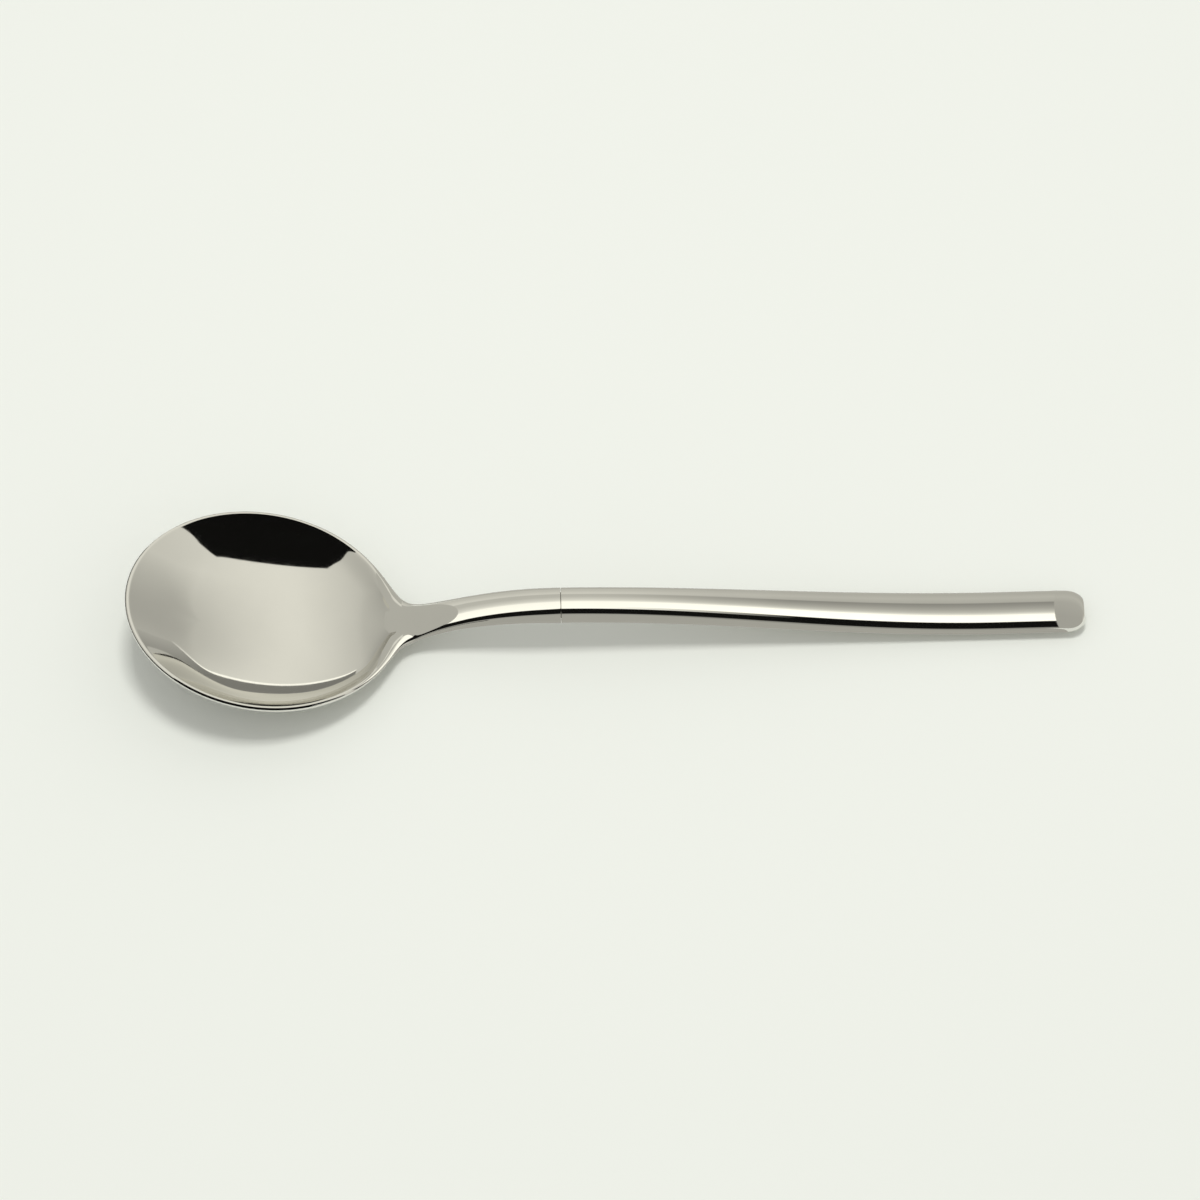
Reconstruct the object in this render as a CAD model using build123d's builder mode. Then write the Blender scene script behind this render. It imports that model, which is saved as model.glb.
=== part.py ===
# Soup spoon with a hollow handle, lying on a table.
# Sizes are in millimetres. X runs from the bowl's tip to the handle's end, Y runs across and Z is up.
# The origin lies on the table, under the middle of the spoon's length.

from build123d import *
from math import atan2, cos, degrees, pi, radians, sin, sqrt, tan
import os

# Bowl, measured in the plane of its rim. The dish leans, so that its deepest point lies nearer to the heel.
bowl_length = 54.2
bowl_width = 45.1
bowl_depth = 8.5
bowl_floor = 1.6
bowl_tilt = 12.8
dish_lean = 0.33
rim_land = 0.7
rim_band = 0.6
rim_round = 0.35

# Neck, from the heel of the bowl to the seam
neck_length = 32.6
neck_rise = 4.45
neck_arc_radius = 55.5
neck_root_inside = 9.0
neck_root_drop = 0.4
neck_root_thickness = 0.9
heel_thickness = 3.2
neck_waist_width = 5.3
heel_blend = 9.1
rise_blend = 0.8
arch_from_seam = 4.0

# Hollow handle, from the seam to its rounded end. Its halves meet on the line where it is widest.
handle_length = 104.5
handle_mouth_diameter = 7.0
handle_end_width = 9.1
handle_end_crown = 2.9
handle_end_belly = 2.4
handle_rest_from_end = 17.3
nose_corner_length = 3.7
nose_roll_length = 7.1
nose_width = 3.6
nose_crown = 0.9
nose_belly = 1.3
shell_wall = 0.9
end_wall = 1.6

# Joint between the head and the handle
seam_gap = 0.2
seam_chamfer = 0.15
spigot_length = 1.6
mouth_plate_thickness = 1.0
tang_length = 34.0
tang_width = 3.4
tang_thickness = 2.4
tang_tip_width = 2.2
tang_tip_thickness = 1.6
tang_corner = 0.3
notch_radius = 0.7
notch_pairs = 3
cement_past_tang = 3.0
fit_clearance = 0.05

# Sections along each lofted piece
neck_stations = 14
neck_crowding = 1.2
neck_swell = 0.8
handle_stations = 18
tang_stations = 5

# The dish is part of a ball that is stretched along X and leans. A stretched and leaning ball is an
# ellipsoid, and these are its two axes along the spoon, as shares of the ball's radius, and its turn.
half_width = bowl_width / 2
stretch = bowl_length / bowl_width
squares = (stretch**2 + dish_lean**2 + 1) / 2
spread_of_squares = sqrt(squares**2 - stretch**2)
long_axis = sqrt(squares + spread_of_squares)
short_axis = sqrt(squares - spread_of_squares)
dish_turn = degrees(atan2(2 * dish_lean, stretch**2 + dish_lean**2 - 1)) / 2
outer_sag = bowl_depth + bowl_floor - rim_band
outer_radius = (half_width**2 + outer_sag**2) / (2 * outer_sag)
outer_centre = outer_radius - outer_sag
inner_half_width = half_width - rim_land
inner_radius = (inner_half_width**2 + bowl_depth**2) / (2 * bowl_depth)
inner_centre = inner_radius - bowl_depth

# The tilted dish touches the table, which gives the height of its rim.
tilt = radians(bowl_tilt)
touch_radius = outer_radius * sqrt((stretch * sin(tilt)) ** 2 + (cos(tilt) + dish_lean * sin(tilt)) ** 2)
rim_height = touch_radius - dish_lean * outer_centre * sin(tilt) - (outer_centre - rim_band) * cos(tilt)

# Places along X, from the tip of the tilted rim to the handle's end
bowl_half_span = bowl_length / 2 * cos(tilt)
overall_length = 2 * bowl_half_span + neck_length + handle_length
bowl_x = bowl_half_span - overall_length / 2
heel_x = bowl_x + bowl_half_span
root_x = heel_x - neck_root_inside
seam_x = heel_x + neck_length
arch_x = seam_x - arch_from_seam
shoulder_x = seam_x - seam_chamfer
mouth_x = seam_x + seam_gap
lip_x = mouth_x + seam_chamfer
end_x = seam_x + handle_length
rest_x = end_x - handle_rest_from_end
plate_x = seam_x + spigot_length
cement_x = plate_x + mouth_plate_thickness
tang_end_x = plate_x + tang_length
cement_end_x = tang_end_x + cement_past_tang

# Heights of the middle of the neck and of the handle
heel_height = rim_height - bowl_half_span * tan(tilt)
arch_height = heel_height + neck_rise
rest_height = handle_end_belly


def ease(share):
    """Rise smoothly from 0 to 1 as the share goes from 0 to 1, level at both ends."""
    held = min(max(share, 0.0), 1.0)
    return (1 - cos(pi * held)) / 2


def left_at_nose(x, length):
    """Share of the handle's section that is left at x, where its end rounds off over a length."""
    past = min(max(x - (end_x - length), 0.0) / length, 1.0)
    return sqrt(1 - past**2)


def soft_max(first, second, blend):
    """The larger of two values, rounded over where they are closer than the blend."""
    return (first + second + sqrt((first - second) ** 2 + blend**2)) / 2


def neck_height(x):
    """Height of the middle of the neck: the bowl's falling rim, then an arc that rises to the arch."""
    rim_line = -neck_root_drop - (x - heel_x) * tan(tilt)
    arc = neck_rise - (arch_x - x) ** 2 / (2 * neck_arc_radius)
    return heel_height + soft_max(arc, rim_line, rise_blend)


def neck_width(x):
    """Width of the head at x: the bowl's oval and the neck, blended where they meet."""
    share = max(x - heel_x, 0.0) / (shoulder_x - heel_x)
    neck_half = (neck_waist_width + (handle_mouth_diameter - neck_waist_width) * ease(share)) / 2
    oval_square = half_width**2 * (1 - ((x - bowl_x) / bowl_half_span) ** 2)
    blend_square = heel_blend**2 * sqrt(max(1 - share**2, 0.0))
    return 2 * sqrt(soft_max(oval_square, neck_half**2, blend_square))


def neck_thickness(x):
    """Thickness of the neck at x: as thin as the rim at its root, and growing from the heel to the shoulder."""
    in_bowl = ease((x - root_x) / (heel_x - root_x))
    share = max(x - heel_x, 0.0) / (shoulder_x - heel_x)
    at_heel = neck_root_thickness + (heel_thickness - neck_root_thickness) * in_bowl
    return at_heel + (handle_mouth_diameter - heel_thickness) * share**neck_swell


def handle_height(x):
    """Height of the handle's widest line, which eases down from the arch to where it rests."""
    return arch_height + (rest_height - arch_height) * ease((x - arch_x) / (rest_x - arch_x))


def handle_shape(x, inset=0.0):
    """The handle at x, drawn in by the inset: half width, crown above and belly below its widest line."""
    flat = ease((x - seam_x) / (rest_x - seam_x))
    mouth_radius = handle_mouth_diameter / 2
    half = mouth_radius + (handle_end_width / 2 - mouth_radius) * flat
    crown = mouth_radius + (handle_end_crown - mouth_radius) * flat
    belly = mouth_radius + (handle_end_belly - mouth_radius) * flat
    corner_left = left_at_nose(x, nose_corner_length)
    roll_left = left_at_nose(x, nose_roll_length)
    nosed_half = nose_width / 2 + (half - nose_width / 2) * corner_left
    nosed_crown = nose_crown + (crown - nose_crown) * roll_left
    nosed_belly = nose_belly + (belly - nose_belly) * roll_left
    return nosed_half - inset, nosed_crown - inset, nosed_belly - inset


def across_plane(x, height):
    """A plane that stands across X, with its own x to the far side and its own y up."""
    return Plane((x, 0, height), x_dir=(0, 1, 0), z_dir=(1, 0, 0))


def oval_section(x, height, half, rise):
    """A whole oval section, drawn as its far half and its near half."""
    with BuildSketch(across_plane(x, height)) as section:
        with BuildLine():
            EllipticalCenterArc((0, 0), half, rise, start_angle=-90, arc_size=180)
            EllipticalCenterArc((0, 0), half, rise, start_angle=90, arc_size=180)
        make_face()
    return section.sketch


def half_section(x, height, half, rise, first_angle):
    """Half an oval section, closed along its widest line: from angle 0 the crown, from 180 the belly."""
    with BuildSketch(across_plane(x, height)) as section:
        with BuildLine():
            edge = EllipticalCenterArc((0, 0), half, rise, start_angle=first_angle, arc_size=180)
            Line(edge @ 1, edge @ 0)
        make_face()
    return section.sketch


def neck_section(x):
    """The neck's section at x."""
    return oval_section(x, neck_height(x), neck_width(x) / 2, neck_thickness(x) / 2)


def inner_section(x, inset):
    """An oval inside the handle at x, drawn in from the handle's skin by the inset on every side."""
    half, crown, belly = handle_shape(x, inset)
    return oval_section(x, handle_height(x) + (crown - belly) / 2, half, (crown + belly) / 2)


def upper_section(x, inset=0.0):
    """The upper half of the handle's section at x, drawn in by the inset."""
    half, crown, belly = handle_shape(x, inset)
    return half_section(x, handle_height(x), half, crown, 0)


def lower_section(x, inset=0.0):
    """The lower half of the handle's section at x, drawn in by the inset."""
    half, crown, belly = handle_shape(x, inset)
    return half_section(x, handle_height(x), half, belly, 180)


def tang_section(x):
    """The tang's flat section at x, which tapers to its tip and follows the handle's middle."""
    share = (x - seam_x) / (tang_end_x - seam_x)
    width = tang_width + (tang_tip_width - tang_width) * share
    thickness = tang_thickness + (tang_tip_thickness - tang_thickness) * share
    with BuildSketch(across_plane(x, handle_height(x))) as section:
        RectangleRounded(width, thickness, tang_corner)
    return section.sketch


def spread(first, last, count):
    """Evenly spaced places from first to last."""
    return [first + (last - first) * step / (count - 1) for step in range(count)]


def graded(first, last, count):
    """Places from first to last that crowd towards the last one."""
    return [first + (last - first) * sin(pi / 2 * step / (count - 1)) for step in range(count)]


# Outside of the bowl: a leaning dish with a short upright band below its rounded rim
with BuildPart() as outer_ball:
    Sphere(outer_radius)
    scale(by=(long_axis, 1, short_axis))

with BuildPart() as bowl_outside:
    with Locations(Location((-dish_lean * outer_centre, 0, outer_centre - rim_band), (0, dish_turn, 0))):
        add(outer_ball.part)
    split(bisect_by=Plane.XY.offset(-rim_band), keep=Keep.BOTTOM)
    with BuildSketch(Plane.XY.offset(-rim_band)):
        Ellipse(bowl_length / 2, half_width)
    extrude(amount=rim_band)
    fillet(bowl_outside.edges().group_by(Axis.Z)[-1], rim_round)

# Hollow of the bowl, which also runs out into the top of the neck
with BuildPart() as bowl_hollow:
    Sphere(inner_radius)
    scale(by=(long_axis, 1, short_axis))

# Tang behind the shoulder, with pairs of round notches that key it into the cement
with BuildPart() as tang:
    loft([tang_section(x) for x in spread(seam_x, tang_end_x, tang_stations)])
    notch_pitch = (tang_end_x - cement_x) / (notch_pairs + 1)
    for pair in range(notch_pairs):
        notch_x = cement_x + notch_pitch * (pair + 1)
        notch_y = tang_section(notch_x).bounding_box().max.Y
        with Locations((notch_x, notch_y, handle_height(notch_x)), (notch_x, -notch_y, handle_height(notch_x))):
            Cylinder(notch_radius, 2 * tang_thickness, mode=Mode.SUBTRACT)

# Head: bowl, neck, shoulder, spigot and tang in one forging
bowl_place = Location((bowl_x, 0, rim_height), (0, bowl_tilt, 0))
neck_places = [
    root_x + (shoulder_x - root_x) * (step / neck_stations) ** neck_crowding for step in range(neck_stations)
]

with BuildPart() as bowl_and_neck:
    loft([neck_section(x) for x in neck_places] + [inner_section(shoulder_x, 0)])
    loft([inner_section(shoulder_x, 0), inner_section(seam_x, seam_chamfer)])
    with Locations(bowl_place):
        add(bowl_outside.part)
    with Locations(bowl_place * Location((-dish_lean * inner_centre, 0, inner_centre), (0, dish_turn, 0))):
        add(bowl_hollow.part, mode=Mode.SUBTRACT)
    loft([inner_section(x, shell_wall + fit_clearance) for x in (seam_x - seam_gap, plate_x)])
    add(tang.part)

# Hollow inside the handle, open at the mouth
with BuildPart() as handle_hollow:
    hollow_places = graded(seam_x - spigot_length, end_x - end_wall, handle_stations)
    loft([inner_section(x, shell_wall) for x in hollow_places])

# Two pressed halves of the handle, which meet along its widest line
shell_places = graded(lip_x, end_x, handle_stations)

with BuildPart() as handle_upper_shell:
    loft([upper_section(mouth_x, seam_chamfer), upper_section(lip_x)])
    loft([upper_section(x) for x in shell_places])
    add(handle_hollow.part, mode=Mode.SUBTRACT)

with BuildPart() as handle_lower_shell:
    loft([lower_section(mouth_x, seam_chamfer), lower_section(lip_x)])
    loft([lower_section(x) for x in shell_places])
    add(handle_hollow.part, mode=Mode.SUBTRACT)

# Slotted plate inside the handle's mouth, behind the spigot
with BuildPart() as handle_mouth_plate:
    loft([inner_section(x, shell_wall + fit_clearance) for x in (plate_x, cement_x)])
    add(tang.part, mode=Mode.SUBTRACT)

# Cement that fills the front of the handle around the tang
with BuildPart() as tang_cement:
    cement_places = spread(cement_x, cement_end_x, tang_stations)
    loft([inner_section(x, shell_wall + fit_clearance) for x in cement_places])
    add(tang.part, mode=Mode.SUBTRACT)

pieces = {
    "bowl_and_neck": bowl_and_neck,
    "handle_upper_shell": handle_upper_shell,
    "handle_lower_shell": handle_lower_shell,
    "handle_mouth_plate": handle_mouth_plate,
    "tang_cement": tang_cement,
}
os.makedirs("parts", exist_ok=True)
for name, piece in pieces.items():
    piece.part.label = name
    export_step(piece.part, f"parts/{name}.step")
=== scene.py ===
# %% [markdown]
# A polished soup spoon with a hollow handle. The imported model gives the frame: where every piece sits and
# how large it is. This lesson dresses that frame. Each piece is worked out as a smooth surface with
# numpy, because a mirror shows every small dent of a mesh, and the finishes are built from nodes.

# %% Load the frame
import bpy
import numpy as np
from math import cos, pi, radians, sin, sqrt, tan
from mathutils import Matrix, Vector


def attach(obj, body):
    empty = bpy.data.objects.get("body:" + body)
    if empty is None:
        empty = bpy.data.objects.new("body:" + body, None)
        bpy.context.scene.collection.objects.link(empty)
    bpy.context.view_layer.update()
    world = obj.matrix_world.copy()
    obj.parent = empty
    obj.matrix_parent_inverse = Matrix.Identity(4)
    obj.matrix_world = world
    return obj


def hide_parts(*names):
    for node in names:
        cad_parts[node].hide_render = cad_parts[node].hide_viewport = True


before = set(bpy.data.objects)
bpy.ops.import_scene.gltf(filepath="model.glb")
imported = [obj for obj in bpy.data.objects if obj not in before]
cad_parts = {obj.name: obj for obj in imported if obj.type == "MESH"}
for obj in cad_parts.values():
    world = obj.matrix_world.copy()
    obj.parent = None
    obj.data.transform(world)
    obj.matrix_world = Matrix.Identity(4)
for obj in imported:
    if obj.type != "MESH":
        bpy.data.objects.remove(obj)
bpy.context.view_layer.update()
print("nodes:", sorted(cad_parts))

# %% [markdown]
# The main sizes, in millimetres, are the same ones that drive the solid model. The bowl is an oval dish
# whose rim is tilted, so that the tip stands higher than the heel. The neck rises from the heel to an
# arch just before the seam, and the handle eases down from there until it rests on the table. The rim,
# the wall just inside it and the heel have a few more sizes here, because the mirror shows them.

# %% Sizes of the spoon
millimetre = 0.001
bowl_length, bowl_width, bowl_depth, bowl_floor = 54.2, 45.1, 8.5, 1.6
bowl_tilt, dish_lean = radians(12.8), 0.33
rim_land, rim_band, rim_crown, rim_belly = 0.7, 0.6, 0.9, 0.2
rim_turn, rim_flank, flank_turn = 0.55, 0.35, 0.08
rim_wall, side_reach, tip_reach = 1.2, 5.0, 14.0
bridge_start, bridge_end, bridge_edge = -6.5, 6.0, 0.6
neck_length, neck_rise, neck_arc_radius = 32.6, 4.45, 55.5
heel_thickness, neck_waist_width, neck_swell = 3.2, 5.3, 0.8
heel_blend, rise_blend, rise_blend_length, arch_from_seam = 9.1, 0.8, 20.0, 4.0
handle_length, handle_mouth_diameter = 104.5, 7.0
handle_end_width, handle_end_crown, handle_end_belly = 9.1, 2.9, 2.4
handle_rest_from_end = 17.3
nose_corner_length, nose_roll_length, nose_dome = 3.7, 7.1, 0.25
nose_width, nose_crown, nose_belly = 3.6, 0.9, 1.3
shell_wall, end_wall = 0.9, 1.6
seam_gap, seam_line, line_chamfer, spigot_length, fit_clearance = 0.2, 0.1, 0.06, 1.6, 0.05
mouth_plate_thickness, tang_length = 1.0, 34.0
tang_width, tang_thickness, tang_tip_width, tang_tip_thickness = 3.4, 2.4, 2.2, 1.6
notch_radius, notch_pairs = 0.7, 3
print("bowl", bowl_length, "by", bowl_width, "mm, neck", neck_length, "mm, handle", handle_length, "mm")

# %% [markdown]
# From the sizes follow the places along X: the tip, the heel, the seam and the end, with the middle of
# the whole length at zero. The bowl's ball is tilted, and the rim stands just so high that the ball
# touches the table.

# %% Places along the spoon
half_width = bowl_width / 2
stretch = bowl_length / bowl_width
outer_sag = bowl_depth + bowl_floor - rim_band
outer_radius = (half_width**2 + outer_sag**2) / (2 * outer_sag)
outer_centre = outer_radius - outer_sag
touch_radius = outer_radius * sqrt(
    (stretch * sin(bowl_tilt)) ** 2 + (cos(bowl_tilt) + dish_lean * sin(bowl_tilt)) ** 2)
centre_above_rim = dish_lean * outer_centre * sin(bowl_tilt) + (outer_centre - rim_band) * cos(bowl_tilt)
rim_height = touch_radius - centre_above_rim
bowl_half_span = bowl_length / 2 * cos(bowl_tilt)
overall_length = 2 * bowl_half_span + neck_length + handle_length
bowl_x = bowl_half_span - overall_length / 2
tip_x = bowl_x - bowl_half_span
heel_x = bowl_x + bowl_half_span
seam_x = heel_x + neck_length
arch_x = seam_x - arch_from_seam
face_x = seam_x + (seam_gap - seam_line) / 2
shoulder_x = face_x - line_chamfer
mouth_x = face_x + seam_line
lip_x = mouth_x + line_chamfer
end_x = seam_x + handle_length
rest_x = end_x - handle_rest_from_end
plate_x = seam_x + spigot_length
tang_end_x = plate_x + tang_length
heel_height = rim_height - bowl_half_span * tan(bowl_tilt)
arch_height = heel_height + neck_rise
mouth_radius = handle_mouth_diameter / 2
places_along = [round(place, 2) for place in (tip_x, heel_x, seam_x, end_x)]
print("tip, heel, seam and end along X:", places_along)

# %% [markdown]
# A few plain curves are used again and again: an ease that starts and stops gently, the soft smaller and
# larger of two heights, which round over the line where two surfaces cross, and a quarter circle for
# edges. On a real spoon a polishing wheel does that rounding.


# %% Plain curves
def ease(share):
    """Half a cosine wave: 0 at share 0, 1 at share 1, level at both ends."""
    return (1 - np.cos(pi * np.clip(share, 0, 1))) / 2


def soft_max(first, second, blend):
    """Half of the sum plus half of the root of difference squared plus blend squared."""
    return (first + second + np.sqrt((first - second) ** 2 + blend**2)) / 2


def soft_min(first, second, blend):
    """Half of the sum minus half of the root of difference squared plus blend squared."""
    return (first + second - np.sqrt((first - second) ** 2 + blend**2)) / 2


def round_over(inward, radius):
    """A quarter circle: 0 at the edge, 1 from one radius inwards."""
    share = np.clip(inward / radius, 0, 1)
    return np.sqrt(np.maximum(1 - (1 - share) ** 2, 0))


print("ease at a quarter:", round(float(ease(0.25)), 3), "round edge:", round(float(round_over(0.25, 1)), 3))

# %% [markdown]
# A piece is made of patches. A patch is a grid of points from a formula, and neighbouring patches share
# their edge points. The helpers below turn the patches into one mesh: equal points are joined, so seams
# and poles close, and the normals come from the grid itself. A mirror needs those exact normals more than
# it needs many faces.


# %% From grids of points to a mesh
def grid_normals(points, flip):
    """The cross product of the two differences along the grid, scaled to length 1."""
    along = np.gradient(points, axis=0, edge_order=2)
    across = np.gradient(points, axis=1, edge_order=2)
    normal = np.cross(along, across) * (-1 if flip else 1)
    length = np.linalg.norm(normal, axis=2, keepdims=True)
    return np.where(length > 1e-9, normal / np.maximum(length, 1e-9), 0)


def grid_faces(rows, columns, first, flip):
    """Four corners of each cell of a grid whose points are numbered row by row from first."""
    number = first + np.arange(rows * columns).reshape(rows, columns)
    corners = [number[:-1, :-1], number[1:, :-1], number[1:, 1:], number[:-1, 1:]]
    faces = np.stack(corners, axis=2).reshape(-1, 4)
    return faces[:, ::-1] if flip else faces


def gather(patches):
    """Points, normals and numbered faces of all patches, one patch after another."""
    points, normals, faces = [], [], []
    first = 0
    for grid, flip, smooth in patches:
        rows, columns = grid.shape[:2]
        shade = grid_normals(grid, flip) if smooth else np.zeros_like(grid)
        points.append(grid.reshape(-1, 3))
        normals.append(shade.reshape(-1, 3))
        faces.append(grid_faces(rows, columns, first, flip))
        first += rows * columns
    return np.concatenate(points), np.concatenate(normals), np.concatenate(faces)


print("faces between 3 by 4 points:", len(grid_faces(3, 4, 0, False)))

# %% [markdown]
# Now the mesh itself. Where points fall together, a face with four corners becomes one with three, or
# goes. Then the finished object is put on the frame's one body, because nothing on a spoon moves. A short
# report tells whether the mesh is closed and whether its faces point outwards.


# %% From patches to a piece
def make_piece(name, patches):
    """Joins patches of (points in millimetres, flip, smooth) into one closed mesh object at the origin."""
    points, normals, faces = gather(patches)
    places, joined = np.unique(np.round(points, 4), axis=0, return_inverse=True)
    corners = joined.reshape(-1)[faces]
    kept = corners != np.roll(corners, 1, axis=1)
    real = kept.sum(axis=1) >= 3
    corners, kept, faces = corners[real], kept[real], faces[real]
    polygons = [face[keep].tolist() for face, keep in zip(corners, kept)]
    mesh = bpy.data.meshes.new(name)
    mesh.from_pydata((places * millimetre).tolist(), [], polygons)
    mesh.polygons.foreach_set("use_smooth", np.ones(len(polygons), bool))
    mesh.update()
    mesh.normals_split_custom_set(normals[faces[kept]].tolist())
    piece = bpy.data.objects.new(name, mesh)
    bpy.context.scene.collection.objects.link(piece)
    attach(piece, "root")
    report_piece(piece, polygons, corners, kept)
    return piece


def report_piece(piece, polygons, corners, kept):
    """Prints faces, open edges and the enclosed volume, which is positive when faces point outwards."""
    next_corner, corner_after = np.roll(corners, -1, axis=1), np.roll(corners, -2, axis=1)
    following = np.where(np.roll(kept, -1, axis=1), next_corner, corner_after)
    edges = np.sort(np.stack([corners[kept], following[kept]], axis=1), axis=1)
    shared = np.unique(edges, axis=0, return_counts=True)[1]
    place = np.empty(len(piece.data.vertices) * 3)
    piece.data.vertices.foreach_get("co", place)
    first, second, third, fourth = np.moveaxis(place.reshape(-1, 3)[corners], 1, 0)
    tents = np.einsum("ij,ij->i", first, np.cross(second, third) + np.cross(third, fourth))
    volume = round(tents.sum() / 6 * 1e9, 1)
    print(piece.name, "faces", len(polygons), "open edges", int((shared != 2).sum()), "volume mm3", volume)


# %% [markdown]
# The head is forged and ground: bowl, neck and shoulder are one piece of steel. Seen from above its
# outline is the bowl's oval that runs softly into the neck. The outline is a soft maximum of the two
# squared half widths, so there is no corner at the heel.


# %% Outline of the head
def neck_half_width(x):
    """Half the waist, eased up to half the handle's mouth at the shoulder."""
    swell = ease((x - heel_x) / (shoulder_x - heel_x))
    return (neck_waist_width + (handle_mouth_diameter - neck_waist_width) * swell) / 2


def head_half_width(x):
    """Root of the soft maximum of the oval's and the neck's squared half widths."""
    oval = half_width**2 * (1 - ((x - bowl_x) / bowl_half_span) ** 2)
    share = np.clip((x - heel_x) / (shoulder_x - heel_x), 0, 1)
    heel_half = ease((x - bowl_x) / bowl_half_span)
    blend = heel_blend**2 * np.sqrt(1 - share**2) * heel_half
    return np.sqrt(soft_max(oval, neck_half_width(x) ** 2 * heel_half, blend))


def outline_places(count):
    """Places along X from the tip to the shoulder, evenly spaced along the outline's own length."""
    fine = np.linspace(0, 1, 4001)
    x = tip_x + (shoulder_x - tip_x) * fine**2
    y = head_half_width(x)
    y[0] = 0
    run = np.concatenate([[0], np.cumsum(np.hypot(np.diff(x), np.diff(y)))])
    even = np.interp(np.linspace(0, run[-1], count), run, fine)
    return tip_x + (shoulder_x - tip_x) * even**2


outline_stations = 221
outline_x = outline_places(outline_stations)
outline_y = head_half_width(outline_x)
outline_y[0] = 0
heel_half_width = round(float(head_half_width(heel_x)), 2)
print("outline stations:", len(outline_x), "half width at the heel:", heel_half_width)

# %% [markdown]
# Straight lines run from the outline in to a spine along the middle. Near the tip the spine is shorter
# than the bowl, so that the lines fan out and meet the rim squarely. Points crowd towards the rim, where
# the edge is rounded over and the narrow flat land ends in a fine inner edge.

# %% Grid lines of the head
fan_at_tip, least_square_on, tiny = 0.45, 0.3, 1e-6
rim_zone, neck_zone_share, longest_zone, neck_fade = 1.6, 0.55, 0.6, 14.0
rim_points, inner_points, first_inner_step = 31, 29, 0.08
turn = np.unwrap(np.arctan2(np.gradient(outline_y), np.gradient(outline_x)))
turn[0] = pi / 2
fan = fan_at_tip + (1 - fan_at_tip) * ease((outline_x - tip_x) / (2 * bowl_half_span))
spine_x = np.where(outline_x < heel_x, bowl_x + (outline_x - bowl_x) * fan, outline_x)
reach = np.hypot(spine_x - outline_x, outline_y)
square_on = ((spine_x - outline_x) * np.sin(turn) + outline_y * np.cos(turn)) / np.maximum(reach, tiny)
square_on = np.clip(square_on, least_square_on, 1)
neckness = ease((outline_x - (heel_x - neck_fade / 2)) / neck_fade)
wanted_zone = rim_zone + (neck_zone_share * outline_y - rim_zone) * neckness
edge_zone = np.minimum(wanted_zone, longest_zone * reach * square_on)
rim_steps = 1 - np.cos(np.linspace(0, pi / 2, rim_points))
inner_steps = np.linspace(0, 1, inner_points)[1:]
inner_steps = first_inner_step * inner_steps + (1 - first_inner_step) * inner_steps**2
edge_run = (edge_zone / square_on)[:, None]
inner_run = edge_run + (reach[:, None] - edge_run) * inner_steps
to_spine = np.concatenate([edge_run * rim_steps, inner_run], axis=1)
inward = to_spine * square_on[:, None]
line_share = to_spine / np.maximum(reach, tiny)[:, None]
print("lines:", to_spine.shape[0], "points from rim to spine:", to_spine.shape[1])

# %% [markdown]
# The far half of the head mirrors the near half. So each grid row runs from the near rim to the spine,
# and on from the spine to the far rim.


# %% Both halves of the head
def both_halves(near, far):
    """Values from the near rim to the spine, and back out along the far half, with the spine once."""
    return np.concatenate([near, far[:, -2::-1]], axis=1)


side_x = outline_x[:, None] + (spine_x - outline_x)[:, None] * line_share
side_y = outline_y[:, None] * (1 - line_share)
head_x = both_halves(side_x, side_x)
head_y = both_halves(-side_y, side_y)
head_in = both_halves(inward, inward)
head_share = both_halves(line_share, line_share)
print("grid of the head:", head_x.shape)

# %% [markdown]
# Heights come next. The dish is part of a ball that was stretched along X and tilted, so its height above
# any point of the table is the lower root of a quadratic. The edge of the head follows the falling rim
# and then the neck's rising arc.


# %% Heights of dish, edge and neck
def dish_height(x, y, half, sag, band):
    """Lower root, along Z, of a ball stretched along X, leaning, tilted, and hung a band below the rim."""
    far_above = 40.0
    radius = (half**2 + sag**2) / (2 * sag)
    c, s = cos(bowl_tilt), sin(bowl_tilt)
    dx = x - bowl_x
    along, along_rise = dx * (c + dish_lean * s) + dish_lean * band, dish_lean * c - s
    above = dx * s + band - (radius - sag)
    square = along_rise**2 / stretch**2 + c**2
    linear = 2 * (along * along_rise / stretch**2 + above * c)
    constant = along**2 / stretch**2 + y**2 + above**2 - radius**2
    root = linear**2 - 4 * square * constant
    height = rim_height + (-linear - np.sqrt(np.maximum(root, 0))) / (2 * square)
    return np.where(root > 0, height, rim_height + far_above)


def handle_height(x):
    """Ease down from the arch to the place where the handle rests."""
    return arch_height + (handle_end_belly - arch_height) * ease((x - arch_x) / (rest_x - arch_x))


def edge_height(x):
    """Soft maximum of the falling rim and of the neck's rising arc, as far as the arch."""
    rim_line = rim_height - rim_crown / cos(bowl_tilt) - (x - bowl_x) * tan(bowl_tilt)
    arc = arch_height - np.maximum(arch_x - x, 0) ** 2 / (2 * neck_arc_radius)
    arc = np.where(x > arch_x, handle_height(x), arc)
    return soft_max(rim_line, arc, rise_blend * (1 - ease((x - heel_x) / rise_blend_length)))


def neck_thickness(x):
    """Thickness at the heel plus a power of the share of the way to the shoulder."""
    share = np.clip((x - heel_x) / (shoulder_x - heel_x), 0, 1)
    return heel_thickness + (handle_mouth_diameter - heel_thickness) * share**neck_swell


print("heights of rim, heel and arch:", round(rim_height, 2), round(heel_height, 2), round(arch_height, 2))

# %% [markdown]
# A pressed bowl is steeper just inside its rim than a plain ball. So the dish starts a little shallower
# and then drops on the way in from the rim's land: at once along the sides, and slowly towards the tip.
# The drop is just what brings the bowl's underside down to the table.

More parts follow.
